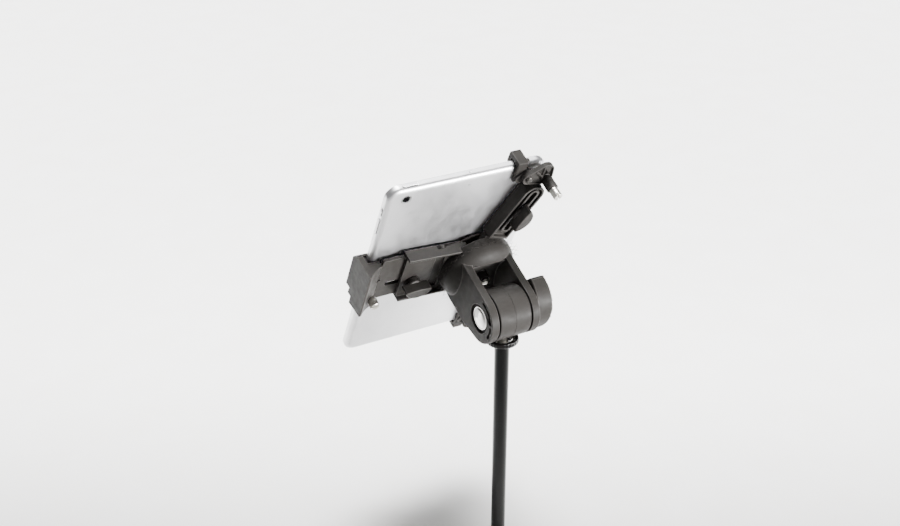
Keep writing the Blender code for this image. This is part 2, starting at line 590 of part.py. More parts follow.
def make_tablet():
    """Metal back shell with its edge rounded towards the back, glass, display and what is inside."""
    left, right = TABLET_LEFT, TABLET_LEFT + TABLET_WIDTH
    top = TABLET_TOP
    shell = prism("tablet_shell", rounded((left, -top), (right, top), TABLET_CORNER, 7), "y", TABLET_BACK,
                  TABLET_FRONT,
                  SHELL, HEAD)
    edge = shell.modifiers.new("curved_edge", "BEVEL")
    edge.width = 2.6 * MM
    edge.segments = 3
    edge.limit_method = "ANGLE"
    edge.angle_limit = math.radians(60)
    edge.use_clamp_overlap = False
    wall = 1.1
    pocket = rounded((left + wall + 2.2, -top + wall + 2.2), (right - wall - 2.2, top - wall - 2.2), 7.0, 5)
    combine(shell, prism("tablet_pocket", pocket, "y", TABLET_BACK + wall, TABLET_FRONT + 1, SHELL, HEAD))
    seat = rounded((left + wall, -top + wall), (right - wall, top - wall), TABLET_CORNER - wall, 7)
    combine(shell, prism("tablet_seat", seat, "y", TABLET_FRONT - 1.3, TABLET_FRONT + 1, SHELL, HEAD))
    lens_x, lens_z = left + 15.5, top - 10.6
    lens = (lens_x, 0, lens_z)
    combine(shell, disc("lens_hole", "y", lens, TABLET_BACK - 1, TABLET_BACK + 2, 4.2, SHELL, HEAD, sides=32))
    disc("tablet_lens", "y", lens, TABLET_BACK - 0.1, TABLET_BACK + 1.6, 3.9, GLASS, HEAD, sides=32)

    clear = wall + GAP
    cover = rounded((left + clear, -top + clear), (right - clear, top - clear), TABLET_CORNER - clear, 7)
    glass = prism("tablet_glass", cover, "y", TABLET_FRONT - 1.0, TABLET_FRONT, GLASS, HEAD)
    button = (TABLET_MIDDLE, 0, -top + 9.5)
    combine(glass, disc("home_hole", "y", button, TABLET_FRONT - 3, TABLET_FRONT + 1, 5.4, GLASS, HEAD,
                        sides=32))
    inner_left, inner_right = left + 5.0, right - 5.0
    prism("tablet_display", box((inner_left + 2.0, -top + 19.5), (inner_right - 2.0, top - 17.5)), "y",
          TABLET_FRONT - 2.9, TABLET_FRONT - 1.3, DISPLAY, HEAD)
    prism("tablet_battery", box((inner_left + 2.0, -top + 19.5), (inner_right - 34.0, top - 19.5)), "y",
          TABLET_BACK + 1.4, TABLET_FRONT - 3.2, CELL, HEAD)
    prism("tablet_board", box((inner_right - 32.0, -top + 19.5), (inner_right - 2.0, top - 19.5)), "y",
          TABLET_BACK + 1.4, TABLET_FRONT - 3.6, BOARD, HEAD)

    home = empty("home_button_axis", (button[0], TABLET_FRONT, button[2]), HEAD)
    lathe("home_button", [(TABLET_FRONT - 1.6, 0), (TABLET_FRONT - 1.6, 5.0), (TABLET_FRONT - 0.2, 5.0),
                          (TABLET_FRONT - 0.6, 4.0), (TABLET_FRONT - 0.8, 0)], "y", button, GLASS, home,
                          sides=32)
    middle = (TABLET_BACK + TABLET_FRONT) / 2 + 0.4
    for name, low, high, travel in (("volume_button", 52.0, 68.5, 0.0),
                                    ("side_switch", 72.0, 78.0, SWITCH_TRAVEL)):
        hole = rounded((middle - 1.3, low - GAP), (middle + 1.3, high + GAP + travel), 1.2, 3)
        combine(shell, prism(name + "_hole", hole, "x", left - 1, left + 4.0, SHELL, HEAD))
        axis = empty(name + "_axis", (left, middle, (low + high) / 2), HEAD)
        prism(name, rounded((middle - 1.0, low), (middle + 1.0, high), 0.9, 3), "x", left - 0.5, left + 2.6,
              SHELL, axis)
    low, high = left + 12.0, left + 24.0
    hole = rounded((low - GAP, middle - 1.3), (high + GAP, middle + 1.3), 1.2, 3)
    combine(shell, prism("power_button_hole", hole, "z", top - 4.0, top + 1, SHELL, HEAD))
    axis = empty("power_button_axis", ((low + high) / 2, middle, top), HEAD)
    prism("power_button", rounded((low, middle - 1.0), (high, middle + 1.0), 0.9, 3), "z", top - 2.6,
          top + 0.5, SHELL,
          axis)


make_rod()
make_lock_ring()
make_knuckle()
make_hub_shell()
make_hub_cover()
make_tilt_bolt()
make_tilt_knob()
make_left_channel()
make_left_slider()
for arm_side, mirror in (("upper", 1), ("lower", -1)):
    make_arm(arm_side, mirror)
    arm_slider = make_slider(arm_side, mirror)
    arm_link = make_link(arm_side, mirror, arm_slider)
    make_jaw(arm_side, mirror, arm_link)
make_tablet()
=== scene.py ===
"""Tablet prompter: a small silver tablet in a black three-arm holder that tilts on top of a stand rod.

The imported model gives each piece's place and most of its outer sizes. Pieces above the knuckle are
drawn in the head's own frame, in millimetres: its origin is the tilt axis, +X across the tablet,
+Y towards the reader and +Z up along the tablet.
"""

import json
import math

import bmesh
import bpy
from mathutils import Matrix, Vector


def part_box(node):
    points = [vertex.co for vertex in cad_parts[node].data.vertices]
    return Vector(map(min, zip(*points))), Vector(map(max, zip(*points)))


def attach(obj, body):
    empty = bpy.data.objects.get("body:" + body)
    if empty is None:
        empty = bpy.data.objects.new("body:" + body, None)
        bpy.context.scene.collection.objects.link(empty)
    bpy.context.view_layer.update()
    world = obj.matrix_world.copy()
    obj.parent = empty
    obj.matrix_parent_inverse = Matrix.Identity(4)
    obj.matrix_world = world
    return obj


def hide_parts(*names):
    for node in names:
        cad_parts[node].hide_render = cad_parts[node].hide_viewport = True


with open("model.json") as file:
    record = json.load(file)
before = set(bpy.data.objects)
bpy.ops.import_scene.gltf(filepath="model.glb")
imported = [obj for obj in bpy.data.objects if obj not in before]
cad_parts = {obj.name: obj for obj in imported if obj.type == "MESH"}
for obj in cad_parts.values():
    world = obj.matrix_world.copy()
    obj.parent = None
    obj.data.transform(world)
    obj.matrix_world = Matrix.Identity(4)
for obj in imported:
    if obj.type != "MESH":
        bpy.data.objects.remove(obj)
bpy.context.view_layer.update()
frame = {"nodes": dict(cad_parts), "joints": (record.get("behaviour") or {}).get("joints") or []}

# Studio: a seamless pale paper floor, a dim white room and three soft boxes. The large box floods
# the paper behind the stand, a low one at the right reaches under the head, and a small one overhead
# gives the tops a trace of sheen.

FLOOR_SIZE = 12.0
PAPER = ("#f4f3f1", "#f7f7f6")
CAMERA_OFFSET = Vector((-0.42937, -0.66960, 0.43797))
CAMERA_TURN = 29.72
CAMERA_DROP = 26.47
CAMERA_LENS = 46.64
SOFT_BOXES = [
    # name, place from the hinge (to the camera's right, away from it and up), point it faces, width,
    # height, watts and spread in degrees
    ("background_box", (0.0, 1.78, 1.0), (0.0, 1.78, 0.0), 4.6, 3.5, 260.0, 36),
    ("low_front_box", (1.05, -0.65, -0.17), (0.0, 0.0, 0.0), 0.7, 0.3, 15.5, 70),
    ("high_box", (0.1, -0.1, 1.2), (0.0, 0.0, 0.0), 0.5, 0.5, 1.0, 60),
]
ROOM_LIGHT = 0.2

joints = {joint["name"]: joint for joint in frame["joints"]}
hinge = Vector(joints["tilt"]["pos_m"])


def srgb(code):
    """A hex colour as linear red, green, blue and alpha."""
    parts = [int(code[i:i + 2], 16) / 255 for i in (1, 3, 5)]
    linear = [p / 12.92 if p <= 0.04045 else ((p + 0.055) / 1.055) ** 2.4 for p in parts]
    return (*linear, 1.0)


def add(tree, kind, inputs=None, **settings):
    """Adds a node with its settings. Each input is a value, or the socket that feeds it."""
    made = tree.nodes.new(kind)
    for name, value in settings.items():
        setattr(made, name, value)
    for name, value in (inputs or {}).items():
        if isinstance(value, bpy.types.NodeSocket):
            tree.links.new(value, made.inputs[name])
        else:
            made.inputs[name].default_value = value
    return made


def surface(name, settings, tones=None, clouds=(), gloss=None, grains=()):
    """A material with mottled colour, patchy gloss and relief, all placed by its piece's own coordinates.

    The clouds blend the two tones: each is its size in millimetres, its detail and its share. The gloss
    is the lowest and highest roughness, with the size and detail of its patches. Each grain, from the
    lowest layer up, is its size in millimetres, its detail, its unevenness and its depth in millimetres.
    Returns the material, its tree, its shader and the socket of the coordinates.
    """
    made = bpy.data.materials.new(name)
    made.use_nodes = True
    tree = made.node_tree
    shader = tree.nodes["Principled BSDF"]
    for key, value in settings.items():
        shader.inputs[key].default_value = value
    place = add(tree, "ShaderNodeTexCoord").outputs["Object"]

    blend = None
    for size, detail, share in clouds:
        cloud = add(tree, "ShaderNodeTexNoise", {"Vector": place, "Scale": 1000.0 / size, "Detail": detail})
        layer = add(tree, "ShaderNodeMapRange", {"Value": cloud.outputs["Fac"], "From Min": 0.3,
                                                 "From Max": 0.7, "To Max": share}).outputs["Result"]
        if blend:
            layer = add(tree, "ShaderNodeMath", {0: blend, 1: layer}, operation="ADD").outputs[0]
        blend = layer
    if blend:
        mix = add(tree, "ShaderNodeMix", {0: blend, 6: srgb(tones[0]), 7: srgb(tones[1])}, data_type="RGBA")
        tree.links.new(mix.outputs[2], shader.inputs["Base Color"])
    if gloss:
        low, high, size, detail = gloss
        patches = add(tree, "ShaderNodeTexNoise", {"Vector": place, "Scale": 1000.0 / size, "Detail": detail})
        rough = add(tree, "ShaderNodeMapRange", {"Value": patches.outputs["Fac"], "From Min": 0.3,
                                                 "From Max": 0.7, "To Min": low, "To Max": high})
        tree.links.new(rough.outputs["Result"], shader.inputs["Roughness"])
    under = None
    for size, detail, unevenness, depth in grains:
        grain = add(tree, "ShaderNodeTexNoise", {"Vector": place, "Scale": 1000.0 / size, "Detail": detail,
                                                 "Roughness": unevenness})
        bump = add(tree, "ShaderNodeBump", {"Height": grain.outputs["Fac"], "Distance": depth / 1000})
        if under:
            tree.links.new(under, bump.inputs["Normal"])
        under = bump.outputs["Normal"]
        tree.links.new(under, shader.inputs["Normal"])
    return made, tree, shader, place


def link_object(name, data):
    made = bpy.data.objects.new(name, data)
    bpy.context.scene.collection.objects.link(made)
    return made


# Seamless background paper: uncoated, matt and even, with a soft tooth a little under a millimetre.
paper = surface("seamless_paper", {"Roughness": 0.9, "Specular IOR Level": 0.2}, PAPER, [(60.0, 3.0, 1.0)],
                grains=[(0.8, 3.0, 0.5, 0.04)])[0]
bm = bmesh.new()
bmesh.ops.create_grid(bm, x_segments=8, y_segments=8, size=FLOOR_SIZE / 2)
mesh = bpy.data.meshes.new("floor")
bm.to_mesh(mesh)
bm.free()
mesh.materials.append(paper)
floor = link_object("floor", mesh)

world = bpy.data.worlds.new("white_room")
bpy.context.scene.world = world
world.use_nodes = True
world.node_tree.nodes["Background"].inputs["Color"].default_value = srgb("#ffffff")
world.node_tree.nodes["Background"].inputs["Strength"].default_value = ROOM_LIGHT

for name, offset, faces, width, height, watts, spread_angle in SOFT_BOXES:
    light = bpy.data.lights.new(name, "AREA")
    light.shape = "RECTANGLE"
    light.size = width
    light.size_y = height
    light.energy = watts
    light.spread = math.radians(spread_angle)
    lamp = link_object(name, light)
    aimed = (Vector(offset) - Vector(faces)).to_track_quat("Z", "Y").to_matrix().to_4x4()
    lamp.matrix_world = (Matrix.Translation(hinge) @ Matrix.Rotation(math.radians(-CAMERA_TURN), 4, "Z")
                         @ Matrix.Translation(offset) @ aimed)

camera = link_object("camera", bpy.data.cameras.new("camera"))
camera.location = hinge + CAMERA_OFFSET
camera.rotation_euler = (math.radians(90 - CAMERA_DROP), 0, math.radians(-CAMERA_TURN))
camera.data.lens = CAMERA_LENS
camera.data.sensor_width = 36.0
camera.data.clip_start = 0.01
bpy.context.scene.camera = camera


# Stand rod: a drawn steel tube, 12 mm across, under a thick coat of gloss black lacquer.
# Its lower end is closed by a moulded plug, and a steel stud pressed in its top carries the knuckle.

# Up to the knuckle, pieces stand upright on the hinge. Those above it follow the head, whose lean
# comes from the home button, because that is pressed straight into the tablet.
into_tablet = Vector(joints["home_button_press"]["axis"])
lean = math.atan2(-into_tablet.z, -into_tablet.y)
MILLIMETRES = Matrix.Scale(0.001, 4)
STAND = Matrix.Translation(hinge) @ MILLIMETRES
HEAD = Matrix.Translation(hinge) @ Matrix.Rotation(lean, 4, "X") @ MILLIMETRES

TUBE_WALL = 1.2
PLUG_FLANGE = 3.0
PLUG_RIBS, RIB_PITCH = 4, 3.2


def extent(node, place=HEAD):
    """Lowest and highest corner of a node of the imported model, in millimetres in a frame."""
    inside = place.inverted()
    points = [inside @ vertex.co for vertex in frame["nodes"][node].data.vertices]
    return [Vector(edge(point[i] for point in points) for i in range(3)) for edge in (min, max)]


def turned(profile, axis="z", centre=(0, 0, 0), sides=96):
    """Turns a closed profile of (along, radius) pairs about an axis through the centre."""
    bm = bmesh.new()
    spin = "xyz".index(axis)
    first, second = (i for i in range(3) if i != spin)
    rings = []
    for along, radius in profile:
        ring = []
        for k in range(sides if radius > 0 else 1):
            point = list(centre)
            point[spin] += along
            point[first] += radius * math.cos(math.tau * k / sides)
            point[second] += radius * math.sin(math.tau * k / sides)
            ring.append(bm.verts.new(point))
        rings.append(ring)
    for ring, after in zip(rings, rings[1:] + rings[:1]):
        if len(ring) == 1 and len(after) == 1:
            continue
        for k in range(sides):
            corners = [(ring, k), (ring, k + 1), (after, k + 1), (after, k)]
            bm.faces.new(list(dict.fromkeys(row[at % len(row)] for row, at in corners)))
    bmesh.ops.recalc_face_normals(bm, faces=bm.faces)
    return bm


def mesh_of(made):
    """The shown mesh of an object with its modifiers, after which the object is gone."""
    graph = bpy.context.evaluated_depsgraph_get()
    result = bpy.data.meshes.new_from_object(made.evaluated_get(graph), depsgraph=graph)
    bpy.data.objects.remove(made)
    return result


def finish(name, bm, place, looks, body, stands_for=(), bevel=0.0, segments=3, angle=32):
    """Rounds the edges, gives the piece its materials and puts it on its body.

    The second look, where there is one, is on the rounded edges."""
    bmesh.ops.remove_doubles(bm, verts=bm.verts, dist=0.002)
    bmesh.ops.dissolve_limit(bm, angle_limit=math.radians(0.4), verts=bm.verts, edges=bm.edges)
    bmesh.ops.recalc_face_normals(bm, faces=bm.faces)
    mesh = bpy.data.meshes.new(name)
    bm.to_mesh(mesh)
    bm.free()
    for look in looks:
        mesh.materials.append(look)
    if bevel:
        rough = link_object(name + "_rough", mesh)
        edge = rough.modifiers.new("round_edges", "BEVEL")
        edge.width = bevel
        edge.segments = segments
        edge.limit_method = "ANGLE"
        edge.angle_limit = math.radians(angle)
        edge.use_clamp_overlap = False
        edge.material = len(looks) - 1 if len(looks) > 1 else -1
        mesh = mesh_of(rough)
    mesh.transform(place)
    mesh.shade_smooth()
    mesh.set_sharp_from_angle(angle=math.radians(40))
    made = link_object(name, mesh)
    made.modifiers.new("even_shading", "WEIGHTED_NORMAL").keep_sharp = True
    if stands_for:
        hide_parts(*stands_for)
    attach(made, body)
    return made


# Stoving lacquer over steel: near black, mirror-like, with a faint orange peel 2 to 3 mm across.
lacquer = surface("stoved_black_lacquer", {
    "Base Color": srgb("#070707"), "Roughness": 0.11, "Specular IOR Level": 0.25},
    gloss=(0.09, 0.17, 14.0, 3.0), grains=[(2.6, 1.0, 0.5, 0.006)])[0]


# Moulded glass-filled nylon: charcoal, a little warm. Flow from the gate leaves clouds 16 mm across
# and a slight waviness, and the mould's face a grain that is drawn coarser than life so that it shows.
def moulded_nylon(name, tones, roughness, grain_mm, depth_mm, shine=0.1):
    return surface(name, {"Roughness": roughness, "Specular IOR Level": shine}, tones,
                   [(16.0, 4.0, 0.7), (0.9, 2.0, 0.3)], (roughness - 0.06, roughness + 0.07, 5.0, 3.0),
                   [(3.2, 1.0, 0.5, 0.012), (grain_mm, 2.0, 0.6, depth_mm)])[0]


# Its spark-eroded grain is really about 0.1 mm, and is drawn at 0.35 mm.
nylon = moulded_nylon("grained_nylon", ("#2b2927", "#353331"), 0.5, 0.35, 0.018)
# Handled edges of the same nylon: the grain is rubbed off them, so they are smoother. Their paler tone is
# partly that wear and partly a painted highlight along every rounded edge.
nylon_edge = moulded_nylon("rubbed_and_highlit_nylon_edge", ("#393734", "#454240"), 0.4, 0.8, 0.004, 0.2)
NYLON = (nylon, nylon_edge)

low, high = extent("rod_tube", STAND)
radius = high.x
finish("stand_rod", turned([(low.z, radius - TUBE_WALL), (low.z, radius - 0.35), (low.z + 0.35, radius),
                            (high.z - 0.6, radius), (high.z, radius - 0.6), (high.z, radius - TUBE_WALL)],
                           sides=128),
       STAND, (lacquer,), "rod", ["rod_tube"])

low, high = extent("rod_end_plug", STAND)
flange = low.z + PLUG_FLANGE
inside = radius - TUBE_WALL - 0.3
ribs = []
for k in range(PLUG_RIBS):
    rib = flange + 2.2 + RIB_PITCH * k
    ribs += [(rib, inside - 0.5), (rib + 0.3, inside), (rib + 1.3, inside), (rib + 1.6, inside - 0.5)]
finish("rod_foot_plug", turned([(low.z, 0), (low.z, radius - 0.9), (low.z + 0.9, radius),
                                (flange - 0.2, radius), (flange, radius - 0.2), (flange, inside - 0.5), *ribs,
                                (high.z, inside - 1.2), (high.z, 0)]),
       STAND, (nylon,), "rod", ["rod_end_plug"])


# Lock ring: a dished nylon nut on the stud, which locks the way the knuckle faces.
# Its rim has shallow finger flutes, and a bright pressed dish lies inside it.

FLUTES = 30
FLUTE_DEPTH = 0.28
STUD_BORE = 4.3

# The ring is polished in its mould, so it's almost as glossy as the rod.
gloss_nylon = moulded_nylon("polished_nylon", ("#0b0a0a", "#121110"), 0.17, 1.5, 0.003, 0.25)


# Plated or turned metal: bright but a little cloudy, with fine marks left by the lathe.
def plated(name, tones, roughness, marks_mm):
    return surface(name, {"Metallic": 1.0, "Roughness": roughness}, tones, [(2.4, 4.0, 1.0)],
                   (roughness - 0.07, roughness + 0.1, 1.1, 3.0), [(marks_mm, 2.0, 0.5, 0.006)])[0]


# Bright chrome over polished steel: near mirror, so it's white where it faces the light.
chrome = plated("polished_chrome", ("#dcdbd8", "#f3f2f0"), 0.12, 4.0)

low, high = extent("lock_ring", STAND)
rim = high.x
ring = turned([(low.z, STUD_BORE), (low.z, rim - 4.2), (low.z + 0.25, rim - 2.6), (low.z + 0.8, rim - 1.2),
               (low.z + 1.6, rim - 0.4), (low.z + 2.6, rim), (high.z - 1.2, rim), (high.z - 0.5, rim - 0.2),
               (high.z, rim - 0.8), (high.z, rim - 1.6), (high.z - 0.4, rim - 2.2), (low.z + 3.0, rim - 3.6),
               (low.z + 3.0, STUD_BORE)], sides=FLUTES * 8)
for vertex in ring.verts:
    out = math.hypot(vertex.co.x, vertex.co.y)
    if out > rim - 1.2:
        turn = math.atan2(vertex.co.y, vertex.co.x)
        inward = 1 - FLUTE_DEPTH / rim * (0.5 + 0.5 * math.cos(FLUTES * turn))
        vertex.co.x *= inward
        vertex.co.y *= inward
finish("lock_ring_rim", ring, STAND, (gloss_nylon,), "lock_ring", ["lock_ring"])

low, high = extent("lock_ring_dish", STAND)
edge = high.x
finish("bright_dish", turned([(low.z, STUD_BORE), (low.z, edge - 1.1), (high.z - 0.4, edge),
                              (high.z, edge - 0.2), (high.z, edge - 0.5), (low.z + 1.2, edge - 2.2),
                              (low.z + 0.9, edge - 3.2), (low.z + 0.9, STUD_BORE)], sides=128),
       STAND, (chrome,), "lock_ring", ["lock_ring_dish"])


# Knuckle: a nylon drum moulded in two halves, which meet in a fine seam in its middle.
# A brass insert takes the stud, and rubber washers on both ends give the tilt its friction.

def carve(base, tool, operation="DIFFERENCE"):
    """Cuts, joins or trims one mesh with another, and returns the result."""
    pair = []
    for bm in (base, tool):
        bmesh.ops.recalc_face_normals(bm, faces=bm.faces)
        mesh = bpy.data.meshes.new("work")
        bm.to_mesh(mesh)
        bm.free()
        pair.append(link_object("work", mesh))
    step = pair[0].modifiers.new("carve", "BOOLEAN")
    step.operation = operation
    step.solver = "EXACT"
    step.object = pair[1]
    bpy.context.view_layer.update()
    mesh = mesh_of(pair[0])
    bpy.data.objects.remove(pair[1])
    result = bmesh.new()
    result.from_mesh(mesh)
    bpy.data.meshes.remove(mesh)
    return result


def rod(axis, centre, low, high, radius, sides=48):
    """A plain round bar between two stations along its axis, mostly for cutting."""
    return turned([(low, 0), (low, radius), (high, radius), (high, 0)], axis, centre, sides)


BOLT_HOLE = 4.3
SEAM = 0.1
STUD_RECESS = (-5.7, 6.8)  # how high it reaches and its radius

for side, sign in (("left", -1), ("right", 1)):
    low, high = extent("knuckle_" + side, STAND)
    near, far = (high.x, low.x) if sign < 0 else (low.x, high.x)
    near -= sign * SEAM
    drum = high.z
    half = turned([(near, BOLT_HOLE), (near, drum - 0.12), (near + sign * 0.12, drum),
                   (far - sign * 0.9, drum), (far - sign * 0.25, drum - 0.3), (far, drum - 0.9),
                   (far, BOLT_HOLE)], "x", sides=160)
    half = carve(half, rod("z", (0, 0, 0), -drum - 1, *STUD_RECESS))
    finish("drum_half_" + side, half, STAND, (nylon,), "knuckle", ["knuckle_" + side])


# Hub: one nylon moulding of a domed boss and two ears that reach round the drum.
# The left ear has a round recess for the cap and two arc-shaped slots; between the ears the dome
# is open, and a screw on a boss in there holds the front cover.

DOME_DEPTH = 18.0
DOME_FULLNESS = 2.6
THROAT = 38.5
SLOT_RADIUS = 16.7
SLOT_WIDTH, SLOT_DEPTH = 2.3, 1.8
SLOT_TURNS = [(80, 146), (154, 196)]
EAR_IN, EAR_OUT, EAR_RADIUS = 15.2, 21.6, 20.48
COVER_RADIUS, COVER_FLOOR = 26.5, 43.5
CAP_RECESS = (2.4, 11.8)  # depth and radius
BOLT_HEAD_RECESS = (4.8, 7.6)
SCREW_BOSS, SCREW_HOLE = 5.2, 2.0


def arc(centre, radius, start, end, steps):
    """Points along an arc, with the angles in degrees."""
    turns = [math.radians(start + (end - start) * k / steps) for k in range(steps + 1)]
    return [(centre[0] + radius * math.cos(a), centre[1] + radius * math.sin(a)) for a in turns]


def slab(outline, axis, low, high):
    """Extrudes an outline along an axis. Its pairs are the other two axes, in order."""
    bm = bmesh.new()
    spot = "xyz".index(axis)
    rings = []
    for along in (low, high):
        ring = []
        for pair in outline:
            point = list(pair)
            point.insert(spot, along)
            ring.append(bm.verts.new(point))
        rings.append(ring)
    bm.faces.new(rings[0])
    bm.faces.new(rings[1][::-1])
    for k in range(len(outline)):
        after = (k + 1) % len(outline)
        bm.faces.new((rings[0][k], rings[0][after], rings[1][after], rings[1][k]))
    bmesh.ops.recalc_face_normals(bm, faces=bm.faces)
    return bm


low, high = extent("hub_shell")
dome_radius = high.z
dome_foot = high.y
dome_top = dome_foot - 2.3 - DOME_DEPTH
dome = [(dome_top, 0)]
for k in range(1, 25):
    left_to_go = (1 - k / 24) ** 1.6
    dome.append((dome_top + DOME_DEPTH * (1 - left_to_go),
                 dome_radius * (1 - left_to_go**DOME_FULLNESS) ** (1 / DOME_FULLNESS)))
hub = turned([*dome, (dome_foot, dome_radius), (dome_foot, COVER_RADIUS), (COVER_FLOOR, COVER_RADIUS),
              (COVER_FLOOR, 0)], "y", sides=160)
hub = carve(hub, rod("x", (0, 0, 0), -EAR_IN, EAR_IN, THROAT, 128))
ear = arc((0, 0), EAR_RADIUS, 90, 262, 60) + [(16, -24.2), (38, -25.0), (47, -24.0), (47, 19.6), (36, 20.3)]
for sign in (-1, 1):
    near, far = sorted((sign * EAR_IN, sign * EAR_OUT))
    hub = carve(hub, slab(ear, "x", near, far), "UNION")
    hub = carve(hub, rod("x", (0, 0, 0), near - 1, far + 1, BOLT_HOLE))
for recess, sides in ((CAP_RECESS, 96), (BOLT_HEAD_RECESS, 48)):
    hub = carve(hub, rod("x", (0, 0, 0), -EAR_OUT - 1, -EAR_OUT + recess[0], recess[1], sides))
for start, end in SLOT_TURNS:
    band = (arc((0, 0), SLOT_RADIUS + SLOT_WIDTH / 2, start, end, 24)
            + arc((0, 0), SLOT_RADIUS - SLOT_WIDTH / 2, end, start, 24))
    hub = carve(hub, slab(band, "x", -EAR_OUT - 1, -EAR_OUT + SLOT_DEPTH))
hub = carve(hub, rod("y", (0, 0, 0), 42.0, dome_foot + 1, COVER_RADIUS, 96))
hub = carve(hub, rod("y", (0, 0, 0), 31.5, 41.0, SCREW_BOSS), "UNION")
hub = carve(hub, rod("y", (0, 0, 0), 30.0, 44.0, SCREW_HOLE, 24))
finish("hub_and_ears", hub, HEAD, NYLON, "head", ["hub_shell"], bevel=0.55)

low, high = extent("hub_cover")
finish("front_cover", turned([(42.3, 1.9), (42.3, 4.6), (42.7, 5.0), (55.5, 5.0), (55.5, high.x - 0.4),
                              (55.9, high.x), (57.2, high.x), (high.y, high.x - 1.1), (high.y, 24.0),
                              (high.y - 0.4, 23.6), (high.y - 0.4, 22.4), (high.y, 22.0), (high.y, 0),
                              (54.0, 0), (54.0, 1.9)], "y", sides=128),
       HEAD, (nylon,), "head", ["hub_cover"])


# Screw in the fork: a steel pan head with one slot, bright zinc plated.
# It passes through the boss in the hub and bites into the front cover's post.

# Cheap zinc plating: bright, but cloudier than chrome.
zinc = plated("bright_zinc_plate", ("#c6c3bb", "#e6e4de"), 0.34, 0.5)

low, high = extent("fork_screw")
head_back = low.y
screw = turned([(head_back, 0), (head_back, 1.6), (head_back + 0.25, 2.5), (head_back + 0.8, 3.1),
                (head_back + 1.6, 3.2), (head_back + 2.0, 3.1), (head_back + 2.0, 1.6), (high.y - 1.5, 1.6),
                (high.y, 0.6), (high.y, 0)], "y", sides=64)
screw = carve(screw, slab([(-4, -0.5), (4, -0.5), (4, 0.5), (-4, 0.5)], "y", head_back - 1, head_back + 0.95))
finish("fork_screw_head", screw, HEAD, (zinc,), "head", ["fork_screw"], bevel=0.08, segments=2)


# Cap: a chromed disc with a domed middle and a thin flat rim.
# It is pressed into the left ear's recess, over the bolt's head.

low, high = extent("bolt_cap")
cap_radius = high.z
step = cap_radius - 1.3
proud = low.x - 0.9
crown = [(proud + (1 - math.cos(t)) * 3.6, step * math.sin(t) / math.sin(1.0))
         for t in [k / 12 for k in range(13)]]
foot = crown[-1][0]
finish("chrome_cap", turned([(high.x, 0), *crown, (foot + 0.25, step + 0.2), (foot + 0.05, step + 0.5),
                             (foot + 0.1, cap_radius - 0.3), (foot + 0.4, cap_radius),
                             (high.x, cap_radius)], "x", sides=128),
       HEAD, (chrome,), "head", ["bolt_cap"])


# Wing knob: a lens-shaped nylon grip on a round boss, with a brass nut moulded in.
# Its outer end is crowned, and all of its edges are well rounded for the fingers.

WING_HALF = 24.2
WING_SAGITTA = 13.9
WING_LEAN = -23.0
WING_START = 23.6
CROWN_RISE = 3.0


def lens(half_length, sagitta, turn, steps=28):
    """Two equal arcs that meet in blunt tips, turned by so many degrees."""
    radius = (half_length**2 + sagitta**2) / (2 * sagitta)
    sweep = math.degrees(math.asin(half_length / radius)) * 0.975
    points = []
    for side, facing in ((1, 0), (-1, 180)):
        points += arc((-side * (radius - sagitta), 0), radius, facing - sweep, facing + sweep, steps)
    spin = Matrix.Rotation(math.radians(turn), 2)
    return [tuple(spin @ Vector(point)) for point in points]


low, high = extent("tilt_knob")
ball = (WING_HALF**2 + CROWN_RISE**2) / (2 * CROWN_RISE)
wing = slab(lens(WING_HALF, WING_SAGITTA, WING_LEAN), "x", WING_START, high.x + 1)
crown = [(high.x - ball + ball * math.cos(t), ball * math.sin(t))
         for t in [0.3 * k / 24 for k in range(25)]]
wing = carve(wing, turned([(10.0, 0), *crown, (10.0, crown[-1][1])], "x", sides=96), "INTERSECT")
wing = carve(wing, rod("x", (0, 0, 0), low.x, 27.0, 10.0, 96), "UNION")
wing = carve(wing, rod("x", (0, 0, 0), 20.0, 32.0, 6.5))
finish("wing_knob", wing, HEAD, NYLON, "tilt_knob", ["tilt_knob"], bevel=1.2, segments=5)


# Left arm: an open nylon channel rooted under the hub's edge. Two low walls stand on its web, and
# the slide plate runs in a flat way behind the web. A deep pocket beside the dome saves material.

MOUTH, ROOT, HUB_END = -66.0, -30.4, -12.0
LOWER_EDGE = (-21.0, -24.5)  # at the mouth and at the hub end
UPPER_EDGE = (30.0, 25.2)
WALL = 2.2
WEB = 50.0


def brick(low, high):
    """A block between two opposite corners."""
    corners = [(low[0], low[2]), (high[0], low[2]), (high[0], high[2]), (low[0], high[2])]
    return slab(corners, "y", low[1], high[1])


low, high = extent("left_channel")
outline, recess = (
    [(MOUTH - spare, LOWER_EDGE[0] + wall), (HUB_END + spare, LOWER_EDGE[1] + wall),
     (HUB_END + spare, UPPER_EDGE[1] - wall), (MOUTH - spare, UPPER_EDGE[0] - wall)]
    for spare, wall in ((0.0, 0.0), (1.0, WALL)))
channel = slab(outline, "y", low.y, high.y)
channel = carve(channel, slab(recess, "y", low.y - 1, WEB))
channel = carve(channel, rod("y", (0, 0, 0), 30.0, 50.6, dome_radius + 0.6, 160))
channel = carve(channel, brick((-39.5, WEB - 1, -17.5), (ROOT - 0.6, 52.3, 20.5)))
channel = carve(channel, rod("y", (0, 0, 0), 55.2, high.y + 1, 29.6, 128))
channel = carve(channel, brick((MOUTH - 1, 52.7, -18.7), (ROOT - 0.5, 56.3, 27.5)))
channel = carve(channel, rod("y", (-56.0, 0, -2.5), 48.0, 54.0, 2.3))
finish("left_channel_body", channel, HEAD, NYLON, "head", ["left_channel"], bevel=0.4)


# Slide plate and side jaw: the plate has one long slot for the clamp screw. The jaw is a deep hook
# with a scooped back, screwed to the plate's outer end, and a ribbed rubber strip lies in it.

PLATE_SLOT = ((-78.0, -5.0), (-34.5, 0.0))
SMALL_SLOT = ((-87.2, 3.5), (-83.0, 5.5))


